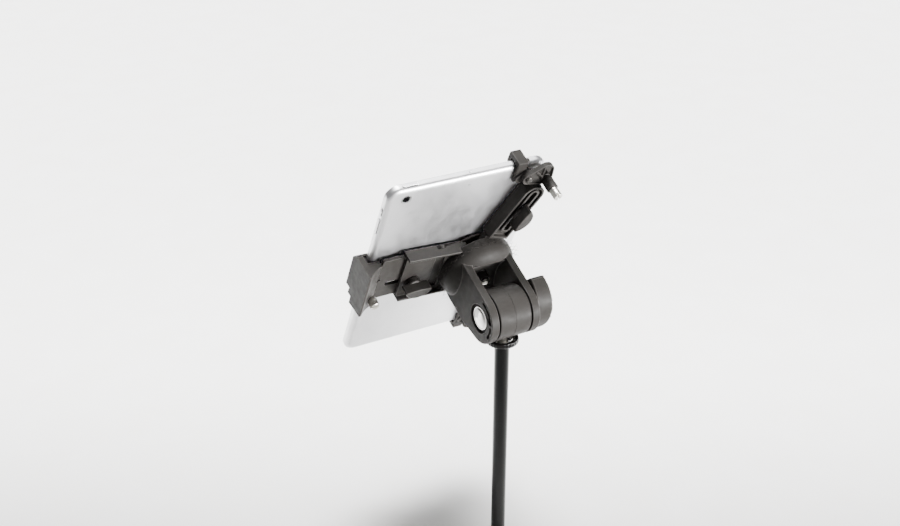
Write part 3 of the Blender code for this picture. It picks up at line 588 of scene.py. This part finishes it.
def rounded(low, high, radius, steps=10):
    """A rectangle with round corners."""
    corners = [((high[0] - radius, low[1] + radius), -90), ((high[0] - radius, high[1] - radius), 0),
               ((low[0] + radius, high[1] - radius), 90), ((low[0] + radius, low[1] + radius), 180)]
    return [point for centre, start in corners for point in arc(centre, radius, start, start + 90, steps)]


low, high = extent("left_slide_plate")
plate = slab(rounded((low.x, low.z), (high.x, high.z), 1.6), "y", low.y, high.y)
plate = carve(plate, slab(rounded(*PLATE_SLOT, 2.45), "y", low.y - 1, high.y + 1))
plate = carve(plate, slab(rounded(*SMALL_SLOT, 0.95), "y", low.y - 1, high.y + 1))
finish("slide_plate", plate, HEAD, NYLON, "left_slider", ["left_slide_plate"], bevel=0.35)

low, high = extent("left_jaw")
scoop_start, scoop_pull, scoop_end = Vector((-85.0, 52.6)), Vector((-93.0, 49.9)), Vector((-97.6, low.y))
scoop = [tuple((1 - t)**2 * scoop_start + 2 * t * (1 - t) * scoop_pull + t * t * scoop_end)
         for t in [k / 14 for k in range(15)]]
section = [(low.x, low.y), (low.x, high.y), (-88.0, 72.4), (-88.0, 67.5), (-94.5, 67.5), (-94.5, 59.3),
           (-85.0, 59.3), *scoop]
jaw = slab(section, "z", -32.0, 26.0)
face = [(40.0, 24.8), (67.0, 21.6), (76.0, 13.4), (76.0, -17.6), (67.2, -16.4), (67.6, -22.8), (62.8, -22.0),
        (62.6, -30.0), (43.0, -25.0), (40.0, -25.0)]
jaw = carve(jaw, slab(face, "x", low.x - 1, -80.0), "INTERSECT")
lock = (-87.2, 0, -16.0)
jaw = carve(jaw, rod("y", lock, 40.0, 57.0, 2.6))
jaw = carve(jaw, slab(rounded(*SMALL_SLOT, 0.95), "y", 40.0, 57.0))
finish("side_jaw", jaw, HEAD, NYLON, "left_slider", ["left_jaw"], bevel=0.6, segments=4)


# Moulded rubber: matt, with a powdery bloom.
rubber = surface("black_rubber", {"Roughness": 0.85, "Specular IOR Level": 0.3}, ("#141313", "#242322"),
                 [(4.0, 3.0, 1.0)], grains=[(0.5, 3.0, 0.5, 0.02)])[0]


def ribbed(name, node, across, along, body):
    """A rubber strip with ribs on the side that grips. The ribs rise along +/-across."""
    low, high = extent(node)
    grip = 1 if across[0] == "+" else -1
    up, run = "xyz".index(across[1]), "xyz".index(along)
    through = 3 - up - run
    top, foot = (high[up], low[up]) if grip > 0 else (low[up], high[up])
    count = max(4, round((high[run] - low[run]) / 1.6))
    pitch = (high[run] - low[run]) / count
    points = [(low[run], foot)]
    for k in range(count):
        start = low[run] + k * pitch
        points += [(start + share * pitch, top - grip * sunk) for share, sunk in
                   ((0.0, 0.32), (0.18, 0.32), (0.30, 0.05), (0.5, 0.0), (0.70, 0.05), (0.82, 0.32))]
    points += [(high[run], top - grip * 0.32), (high[run], foot)]
    pairs = points if run < up else [(b, a) for a, b in points]
    finish(name, slab(pairs, "xyz"[through], low[through], high[through]), HEAD, (rubber,), body,
           [node])


ribbed("side_jaw_strip", "left_jaw_pad", "+x", "z", "left_slider")


# Lock screws: zinc-plated steel with a cheese head, turned rings and one deep slot.
# Each screws through the moulding beside it and grips a jaw's sliding part.

def lock_screw(name, node, body, head_front, radius, slot_depth, turn):
    """The bright screw of a lock: a chamfered head with turned rings, a slot and a plain shank."""
    low, high = extent(node)
    centre = ((low.x + high.x) / 2, 0, (low.z + high.z) / 2)
    back = low.y
    groove = [(head_front - 2.2, radius), (head_front - 2.0, radius - 0.2), (head_front - 1.7, radius - 0.2),
              (head_front - 1.5, radius)]
    screw = turned([(back, 0), (back, radius - 0.45), (back + 0.45, radius), *groove,
                    (head_front - 0.2, radius), (head_front, radius - 0.2), (head_front, 2.2),
                    (high.y - 0.5, 2.2), (high.y, 1.7), (high.y, 0)], "y", centre, 64)
    cut = brick((-radius - 1, back - 1, -0.7), (radius + 1, back + slot_depth, 0.7))
    cut.transform(Matrix.Translation(centre) @ Matrix.Rotation(math.radians(turn), 4, "Y"))
    finish(name, carve(screw, cut), HEAD, (zinc,), body, [node], bevel=0.12, segments=2)


lock_screw("side_jaw_lock", "left_lock_screw", "left_lock", 49.6, 3.9, 2.2, 0)


# Clamp knobs: a half-moon nylon head on a short round neck, with a steel screw moulded in it.
# The side arm has one, and each end arm has one that travels with its slider.

KNOB_CHORD = 11.5
KNOB_SAGITTA = 8.0
KNOB_FRONT, KNOB_NECK = 45.6, 6.2


def half_moon(name, node, body, turn, flip=1):
    """A half-moon knob on its neck, turned by an angle."""
    low, high = extent(node)
    spot = joints[body + "_turn"]["pos_m"]
    x, z = (HEAD.inverted() @ Vector(spot)).xz
    radius = (KNOB_CHORD**2 + KNOB_SAGITTA**2) / (2 * KNOB_SAGITTA)
    half = math.degrees(math.asin(KNOB_CHORD / radius)) - 2.5
    curve = arc((0, radius - 4.8), radius, -90 - half, -90 + half, 40)
    end = curve[-1]
    shoulders = [(end[0] + 0.1, end[1] + 0.5), (end[0] - 0.4, end[1] + 1.1), (KNOB_CHORD * 0.55, 4.55),
                 (KNOB_CHORD * 0.25, 4.8)]
    points = curve + shoulders + [(-a, b) for a, b in shoulders[::-1]]
    cos, sin = math.cos(turn), math.sin(turn)
    outline = [(x + a * cos - b * sin, z + flip * (a * sin + b * cos)) for a, b in points]
    head = slab(outline, "y", low.y, KNOB_FRONT)
    neck = turned([(KNOB_FRONT - 1, 0), (KNOB_FRONT - 1, KNOB_NECK), (high.y - 0.5, KNOB_NECK),
                   (high.y, KNOB_NECK - 0.5), (high.y, 0)], "y", (x, 0, z), 72)
    knob = carve(head, neck, "UNION")
    knob = carve(knob, rod("y", (x, 0, z), 39.0, high.y + 1, 2.2))
    finish(name, knob, HEAD, NYLON, body, [node], bevel=0.8, segments=5)


half_moon("side_arm_knob", "left_knob", "left_knob", 0.0)


# End arms: two hollow bars that lean out from the hub, mirror images of each other. Each has a
# racetrack groove round a slotted rib on its back, and its slider runs inside it.

ARM_LEAN = math.radians(21.0)
ARM_START, ARM_END, ARM_HALF = 32.6, 91.0, 9.75
GROOVE_HALF, RIB_HALF, SLOT_HALF = 7.7, 4.6, 2.5
GROOVE_DEPTH = 3.2
SLIDER_HALF = 6.0


def on_arm(along, across, flip):
    """A point of an end arm, from its distance along and across the arm."""
    cos, sin = math.cos(ARM_LEAN), math.sin(ARM_LEAN)
    return (along * sin + across * cos, flip * (along * cos - across * sin))


def bar(start, end, half, flip, round_start=False, round_end=False):
    """Outline of a bar along an end arm."""
    foot = arc((start + half, 0), half, 90, 270, 20) if round_start else [(start, half), (start, -half)]
    tip = arc((end - half, 0), half, -90, 90, 24) if round_end else [(end, -half), (end, half)]
    return [on_arm(along, across, flip) for along, across in foot + tip]


def hull(circles, steps=14):
    """Outline round a convex chain of circles, each ((x, z), radius), listed anticlockwise."""
    def tangent(first, second):
        dx, dz = second[0][0] - first[0][0], second[0][1] - first[0][1]
        lean = math.asin((first[1] - second[1]) / math.hypot(dx, dz))
        return math.degrees(math.atan2(dz, dx) - math.pi / 2 + lean)

    points = []
    for i, circle in enumerate(circles):
        start = tangent(circles[i - 1], circle)
        end = tangent(circle, circles[(i + 1) % len(circles)])
        points += arc(*circle, start, end + 360 * (end < start), steps)
    return points


def mirrored(circles, flip):
    """The chain for the upper arm or, with its order turned round, for the lower one."""
    turned_round = [((x, flip * z), radius) for (x, z), radius in circles]
    return turned_round if flip > 0 else turned_round[::-1]


KNOB_ALONG = 63.0
PIN = (38.0, 89.6)
SHOULDER = (34.5, 98.0)
PIVOT = (21.5, 93.5)
LINK_RIBS = [((33.0, 104.2), (33.5, 90.5)), ((26.5, 99.5), (35.8, 91.0))]

# Blackened steel: an oxide finish, dark and dull with a little shine left on the crown.
blackened = plated("blackened_steel", ("#373533", "#4a4845"), 0.42, 0.5)

for side, flip in (("upper", 1), ("lower", -1)):
    low, high = extent(side + "_arm")
    back, front = low.y, high.y
    arm = slab(bar(ARM_START, ARM_END, ARM_HALF, flip, round_end=True), "y", back, front)
    arm = carve(arm, slab(bar(34.8, ARM_END - 1.9, GROOVE_HALF, flip, round_end=True), "y", back - 1,
                          back + GROOVE_DEPTH))
    rib = slab(bar(39.9, 87.0, RIB_HALF, flip, True, True), "y", back, back + GROOVE_DEPTH + 1)
    arm = carve(arm, rib, "UNION")
    arm = carve(arm, slab(bar(12.0, ARM_START + 2, ARM_HALF, flip), "y", 50.6, 55.2), "UNION")
    arm = carve(arm, slab(bar(36.0, ARM_END + 1, SLIDER_HALF + 0.3, flip), "y", 51.7, 57.3))
    arm = carve(arm, slab(bar(42.0, 85.4, SLOT_HALF, flip, True, True), "y", back - 1, 52.0))
    finish(side + "_arm_bar", arm, HEAD, NYLON, "head", [side + "_arm"], bevel=0.4)

    # Slider: a flat nylon bar with an eye for the lock screw at its outer end.
    low, high = extent(side + "_slider")
    pin, pivot = (PIN[0], flip * PIN[1]), (PIVOT[0], flip * PIVOT[1])
    knob_spot = on_arm(KNOB_ALONG, 0, flip)
    slider = slab(bar(40.0, 89.5, SLIDER_HALF, flip), "y", low.y, high.y)
    eye = hull([(pin, 6.4), (on_arm(90.5, -0.2, flip), 5.9)])
    slider = carve(slider, slab(eye, "y", 54.3, high.y), "UNION")
    slider = carve(slider, rod("y", (pin[0], 0, pin[1]), 50.0, 60.0, 2.6))
    slider = carve(slider, rod("y", (knob_spot[0], 0, knob_spot[1]), 50.0, 60.0, 2.3))
    finish(side + "_slide_bar", slider, HEAD, NYLON, side + "_slider", [side + "_slider"],
           bevel=0.35)
    half_moon(side + "_arm_knob", side + "_knob", side + "_knob", math.pi / 2 - ARM_LEAN, flip)

    # Link: a kidney-shaped plate with a raised rim, a boss at each hole and two ribs between them.
    low, high = extent(side + "_link")
    floor_at = low.y + 1.3
    link = slab(hull(mirrored([(PIN, 5.4), (SHOULDER, 7.6), (PIVOT, 5.4)], flip)), "y", low.y, high.y)
    link = carve(link, slab(hull(mirrored([(PIN, 4.2), (SHOULDER, 6.4), (PIVOT, 4.2)], flip)), "y", low.y - 1,
                            floor_at))
    for centre, radius in ((pin, 3.9), (pivot, 3.2)):
        link = carve(link, rod("y", (centre[0], 0, centre[1]), low.y, floor_at + 0.5, radius), "UNION")
    for start, end in LINK_RIBS:
        along = Vector(end) - Vector(start)
        half = Vector((-along.y, along.x)).normalized() * 0.55
        corners = [Vector(start) + half, Vector(start) - half, Vector(end) - half, Vector(end) + half]
        rib = slab([(p.x, flip * p.y) for p in corners], "y", low.y + 0.15, floor_at + 0.5)
        link = carve(link, rib, "UNION")
    link = carve(link, rod("y", (pin[0], 0, pin[1]), 48.0, 56.0, 2.6))
    link = carve(link, rod("y", (pivot[0], 0, pivot[1]), 48.0, 56.0, 1.9))
    finish(side + "_link_plate", link, HEAD, NYLON, side + "_link", [side + "_link"],
           bevel=0.3)

    # Sleeve of the lock: a turned nylon tube with two rings, and the bright screw in it.
    low, high = extent(side + "_lock_sleeve")
    outer = high.x - pin[0]
    rings = []
    for start in (low.y + 2.6, low.y + 6.6):
        rings += [(start, outer), (start + 0.2, outer - 0.25), (start + 0.5, outer - 0.25),
                  (start + 0.7, outer)]
    finish(side + "_lock_tube", turned([(low.y, 2.5), (low.y, outer - 0.7), (low.y + 0.7, outer), *rings,
                                        (high.y - 0.5, outer), (high.y, outer - 0.5), (high.y, 2.5)], "y",
                                       (pin[0], 0, pin[1]), 72),
           HEAD, (nylon,), side + "_lock", [side + "_lock_sleeve"])
    lock_screw(side + "_jaw_lock", side + "_lock_screw", side + "_lock", 39.0, 3.5, 2.4, 69 * flip)

    # Jaw: a hook over the tablet's edge on a round foot, with a small cheek screw and a rubber pad.
    low, high = extent(side + "_jaw")
    hook = [(56.6, 86.0), (59.4, 86.0), (59.4, 101.6), (67.4, 101.6), (67.4, 95.0), (70.7, 95.0),
            (71.3, 96.5), *arc((69.5, 104.2), 1.7, 0, 90, 6), *arc((58.0, 104.5), 1.4, 90, 180, 6)]
    jaw = slab([(y, flip * z) for y, z in hook], "x", low.x, 21.0)
    foot = hull([(pivot, 5.2), ((17.0, flip * 91.0), 4.4)])
    jaw = carve(jaw, slab(foot, "y", 54.3, 59.0), "UNION")
    jaw = carve(jaw, rod("x", (0, 60.3, flip * 103.0), 20.0, 23.4, 2.2, 40), "UNION")
    jaw = carve(jaw, rod("y", (pivot[0], 0, pivot[1]), 52.0, 58.2, 1.9))
    finish(side + "_jaw_hook", jaw, HEAD, NYLON, side + "_jaw", [side + "_jaw"], bevel=0.5)
    ribbed(side + "_jaw_strip", side + "_jaw_pad", ("-" if flip > 0 else "+") + "z", "y", side + "_jaw")

    # Rivet that the jaw turns on: a low dome of blackened steel.
    low, high = extent(side + "_jaw_rivet")
    crown = [(low.y + 1.0 - 1.0 * math.cos(t), 2.9 * math.sin(t))
             for t in [math.pi / 2 * k / 8 for k in range(9)]]
    finish(side + "_rivet", turned([*crown, (high.y - 8.2, 2.9), (high.y - 8.2, 1.6), (high.y, 1.6),
                                    (high.y, 0)], "y", (pivot[0], 0, pivot[1]), 48),
           HEAD, (blackened,), side + "_jaw", [side + "_jaw_rivet"])


# Tablet: an aluminium shell milled in one piece, blasted with fine beads and clear anodised.
# Its back edge rolls round into the sides, and a glass front lies flush in a step at the front.

CORNER = 10.0
ROLL_IN, ROLL_DEEP = 4.6, 3.4
LENS_FROM_CORNER = (15.5, 10.6)

# Bead-blasted anodised aluminium: pale, silky, with a grain of pits about 0.2 mm across.
aluminium = surface("blasted_anodised_aluminium", {"Metallic": 1.0, "Roughness": 0.42},
                    ("#e8e8ea", "#f0f0f1"), [(22.0, 3.0, 1.0)], (0.39, 0.46, 9.0, 3.0),
                    [(0.25, 2.0, 0.5, 0.0035)])[0]

# Cut edges of the shell, where a diamond tool leaves a bright line.
cut_edge = surface("diamond_cut_aluminium", {
    "Metallic": 1.0, "Roughness": 0.16, "Base Color": srgb("#e8e8ea")}, grains=[(1.2, 1.0, 0.5, 0.001)])[0]

low, high = extent("tablet_shell")
left, bottom, right, top = low.x, low.z, high.x, high.z
rear, face_at = low.y, high.y


def sheet_outline(inset):
    """The tablet's outline moved in by so many millimetres."""
    return rounded((left + inset, bottom + inset), (right - inset, top - inset), CORNER - inset, 18)


roll = [math.pi / 2 * k / 14 for k in range(15)]
levels = [(rear + ROLL_DEEP * (1 - math.cos(t)), ROLL_IN * (1 - math.sin(t))) for t in roll]
levels += [(face_at - 0.35, 0.0), (face_at, 0.35), (face_at, 1.1), (face_at - 1.3, 1.1), (face_at - 1.3, 3.3),
           (rear + 1.1, 3.3)]
shell = bmesh.new()
rings = [[shell.verts.new((x, y, z)) for x, z in sheet_outline(inset)] for y, inset in levels]
shell.faces.new(rings[0])
shell.faces.new(rings[-1])
for ring, after in zip(rings, rings[1:]):
    for k in range(len(ring)):
        j = (k + 1) % len(ring)
        shell.faces.new((ring[k], ring[j], after[j], after[k]))
bmesh.ops.recalc_face_normals(shell, faces=shell.faces)
lens_x, lens_z = left + LENS_FROM_CORNER[0], top - LENS_FROM_CORNER[1]
middle_x = (left + right) / 2
shell = carve(shell, rod("y", (lens_x, 0, lens_z), rear - 1, rear + 2, 4.15, 72))
shell = carve(shell, rod("y", (middle_x, 0, top - 9.6), rear - 1, rear + 0.8, 0.65, 24))
shell = carve(shell, rod("z", (middle_x, 64.0, 0), top - 1.5, top + 1, 0.65, 24))
edge_y = (rear + face_at) / 2 + 0.4
for name, spare in (("volume_button", 0.0), ("side_switch", 1.8)):
    key_low, key_high = extent(name)
    hole = rounded((edge_y - 1.25, key_low.z - 0.25), (edge_y + 1.25, key_high.z + 0.25 + spare), 1.2, 8)
    shell = carve(shell, slab(hole, "x", left - 1, left + 3.2))
key_low, key_high = extent("power_button")
hole = rounded((key_low.x - 0.25, edge_y - 1.25), (key_high.x + 0.25, edge_y + 1.25), 1.2, 8)
shell = carve(shell, slab(hole, "z", top - 3.2, top + 1))
finish("tablet_back", shell, HEAD, (aluminium, cut_edge), "head", ["tablet_shell"],
       bevel=0.12, segments=2, angle=40)


# Buttons in the tablet's edges: bars of the same aluminium, with polished rims.
# Each moves in its own slot, with a small gap all round.

def edge_key(name, node, axis, dip):
    """A rounded bar in a slot of the tablet's edge. A rocker has a shallow dip in its middle."""
    low, high = extent(node)
    if axis == "x":
        key = slab(rounded((low.y, low.z), (high.y, high.z), 0.95, 8), "x", low.x, high.x)
    else:
        key = slab(rounded((low.x, low.y), (high.x, high.y), 0.95, 8), "z", low.z, high.z)
    if dip:
        key = carve(key, rod("y", (low.x - 7.9, 0, (low.z + high.z) / 2), 60.0, 68.0, 8.1, 96))
    finish(name, key, HEAD, (aluminium, cut_edge), node, [node], bevel=0.25)


edge_key("volume_rocker", "volume_button", "x", True)
edge_key("slide_switch", "side_switch", "x", False)
edge_key("power_key", "power_button", "z", False)


# Camera lens: a dark glass disc in a bright turned ring.
# Both are glued in the round hole near the tablet's corner.

# Black-printed cover glass: polished, with faint finger marks that only show in reflections.
cover_glass = surface("black_printed_glass", {
    "Base Color": srgb("#050506"), "Roughness": 0.05, "IOR": 1.5, "Coat Weight": 0.4, "Coat Roughness": 0.03},
    gloss=(0.035, 0.085, 30.0, 4.0), grains=[(40.0, 1.0, 0.5, 0.002)])[0]

low, high = extent("tablet_lens")
outer = high.x - lens_x
finish("lens_ring", turned([(low.y + 0.1, outer - 0.75), (low.y, outer - 0.6), (low.y, outer - 0.15),
                            (low.y + 0.15, outer), (high.y, outer), (high.y, outer - 0.75)], "y",
                           (lens_x, 0, lens_z), 96),
       HEAD, (cut_edge,), "head", ["tablet_lens"])
finish("lens_glass", turned([(low.y + 0.25, 0), (low.y + 0.25, 1.3), (low.y + 0.2, 1.5),
                             (low.y + 0.2, outer - 0.8), (high.y, outer - 0.8), (high.y, 0)], "y",
                            (lens_x, 0, lens_z), 72),
       HEAD, (cover_glass,), "head", ["tablet_lens"])


# Glass front with its display window, glued in the shell's step, and the round home button.
# The button is glass too, slightly dished, and moves in a hole through the front.

WINDOW_SIDE, WINDOW_END = 7.2, 19.6
WINDOW_SUNK = 0.02
BUTTON_HOLE = 5.4

# The panel behind the window: blue-black, with smears that are a little paler and duller.
window_glass, tree, shader, place = surface("display_behind_glass", {"Roughness": 0.06, "IOR": 1.5})
smears = add(tree, "ShaderNodeTexNoise", {"Vector": place, "Scale": 1000.0 / 26.0, "Detail": 5.0,
                                          "Roughness": 0.6}).outputs["Fac"]
paler = add(tree, "ShaderNodeMapRange", {"Value": smears, "From Min": 0.3, "From Max": 0.7})
tint = add(tree, "ShaderNodeMix", {0: paler.outputs["Result"], 6: srgb("#0c0e12"), 7: srgb("#111419")},
           data_type="RGBA")
tree.links.new(tint.outputs[2], shader.inputs["Base Color"])
duller = add(tree, "ShaderNodeMapRange", {"Value": smears, "From Min": 0.35, "From Max": 0.65, "To Min": 0.04,
                                          "To Max": 0.12})
tree.links.new(duller.outputs["Result"], shader.inputs["Roughness"])

low, high = extent("tablet_glass")
inset = low.x - left
glass = slab(sheet_outline(inset), "y", low.y, high.y)
button = HEAD.inverted() @ Vector([(a + b) / 2 for a, b in zip(*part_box("home_button"))])
glass = carve(glass, rod("y", (button.x, 0, button.z), low.y - 3, high.y + 1, BUTTON_HOLE, 96))
window_at = high.y - WINDOW_SUNK
glass = carve(glass, brick((left + WINDOW_SIDE, window_at, bottom + WINDOW_END),
                           (right - WINDOW_SIDE, high.y + 1, top - WINDOW_END + 1.6)))
glass = carve(glass, rod("y", (middle_x, 0, top - 8.6), high.y - 0.15, high.y + 1, 1.1, 32))
for face in glass.faces:
    spot = face.calc_center_median()
    if abs(spot.y - window_at) < WINDOW_SUNK / 4 and len(face.verts) == 4:
        face.material_index = 1
finish("front_glass", glass, HEAD, (cover_glass, window_glass), "head", ["tablet_glass"])

low, high = extent("home_button")
radius = high.x - button.x
dish = [(high.y - 0.55 + 0.3 * (k / 8) ** 2, (radius - 0.75) * k / 8) for k in range(9)]
finish("home_key", turned([(low.y, 0), *dish, (high.y - 0.05, radius - 0.6), (high.y, radius - 0.35),
                           (high.y - 0.15, radius), (low.y, radius)], "y", (button.x, 0, button.z), 96),
       HEAD, (cover_glass,), "home_button", ["home_button"])


# Pieces inside, as packed: the stud, bolt, screws, nut, insert and washers of the holder, and the
# display, battery and board under the tablet's glass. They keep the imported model's own meshes.

# Turned brass, and the same with nickel plate over it, which takes its yellow away.
brass = plated("turned_brass", ("#b89455", "#d8b878"), 0.32, 0.4)
nickel = plated("nickel_plated_brass", ("#d6d3ca", "#efede6"), 0.26, 0.4)

# Aluminium-laminate pouch of the battery: dull silver grey with soft creases.
foil = surface("laminate_foil", {"Metallic": 0.8, "Roughness": 0.45}, ("#6e6e70", "#84848a"),
               [(8.0, 3.0, 1.0)], grains=[(6.0, 3.0, 0.5, 0.05)])[0]

# Epoxy board under green solder resist, with paler tracks of about 1 mm.
resist, tree, shader, place = surface("green_solder_resist", {"Roughness": 0.38})
tracks = add(tree, "ShaderNodeTexVoronoi", {"Vector": place, "Scale": 700.0}, feature="DISTANCE_TO_EDGE")
near_track = add(tree, "ShaderNodeMapRange", {"Value": tracks.outputs["Distance"], "From Min": 0.04,
                                              "From Max": 0.1, "To Min": 1.0, "To Max": 0.0})
green = add(tree, "ShaderNodeMix", {0: near_track.outputs["Result"], 6: srgb("#123c22"), 7: srgb("#2f6a3c")},
            data_type="RGBA")
tree.links.new(green.outputs[2], shader.inputs["Base Color"])
raised = add(tree, "ShaderNodeBump", {"Height": tracks.outputs["Distance"], "Distance": 0.00003})
tree.links.new(raised.outputs["Normal"], shader.inputs["Normal"])

CARRIED_OVER = {
    zinc: ("rod_top_stud", "tilt_bolt", "left_knob_screw", "upper_knob_screw", "lower_knob_screw"),
    nickel: ("knuckle_insert",),
    brass: ("tilt_knob_nut",),
    rubber: ("friction_washer_left", "friction_washer_right"),
    window_glass: ("tablet_display",),
    foil: ("tablet_battery",),
    resist: ("tablet_board",),
}
for look, names in CARRIED_OVER.items():
    for name in names:
        data = frame["nodes"][name].data
        data.materials.clear()
        data.materials.append(look)
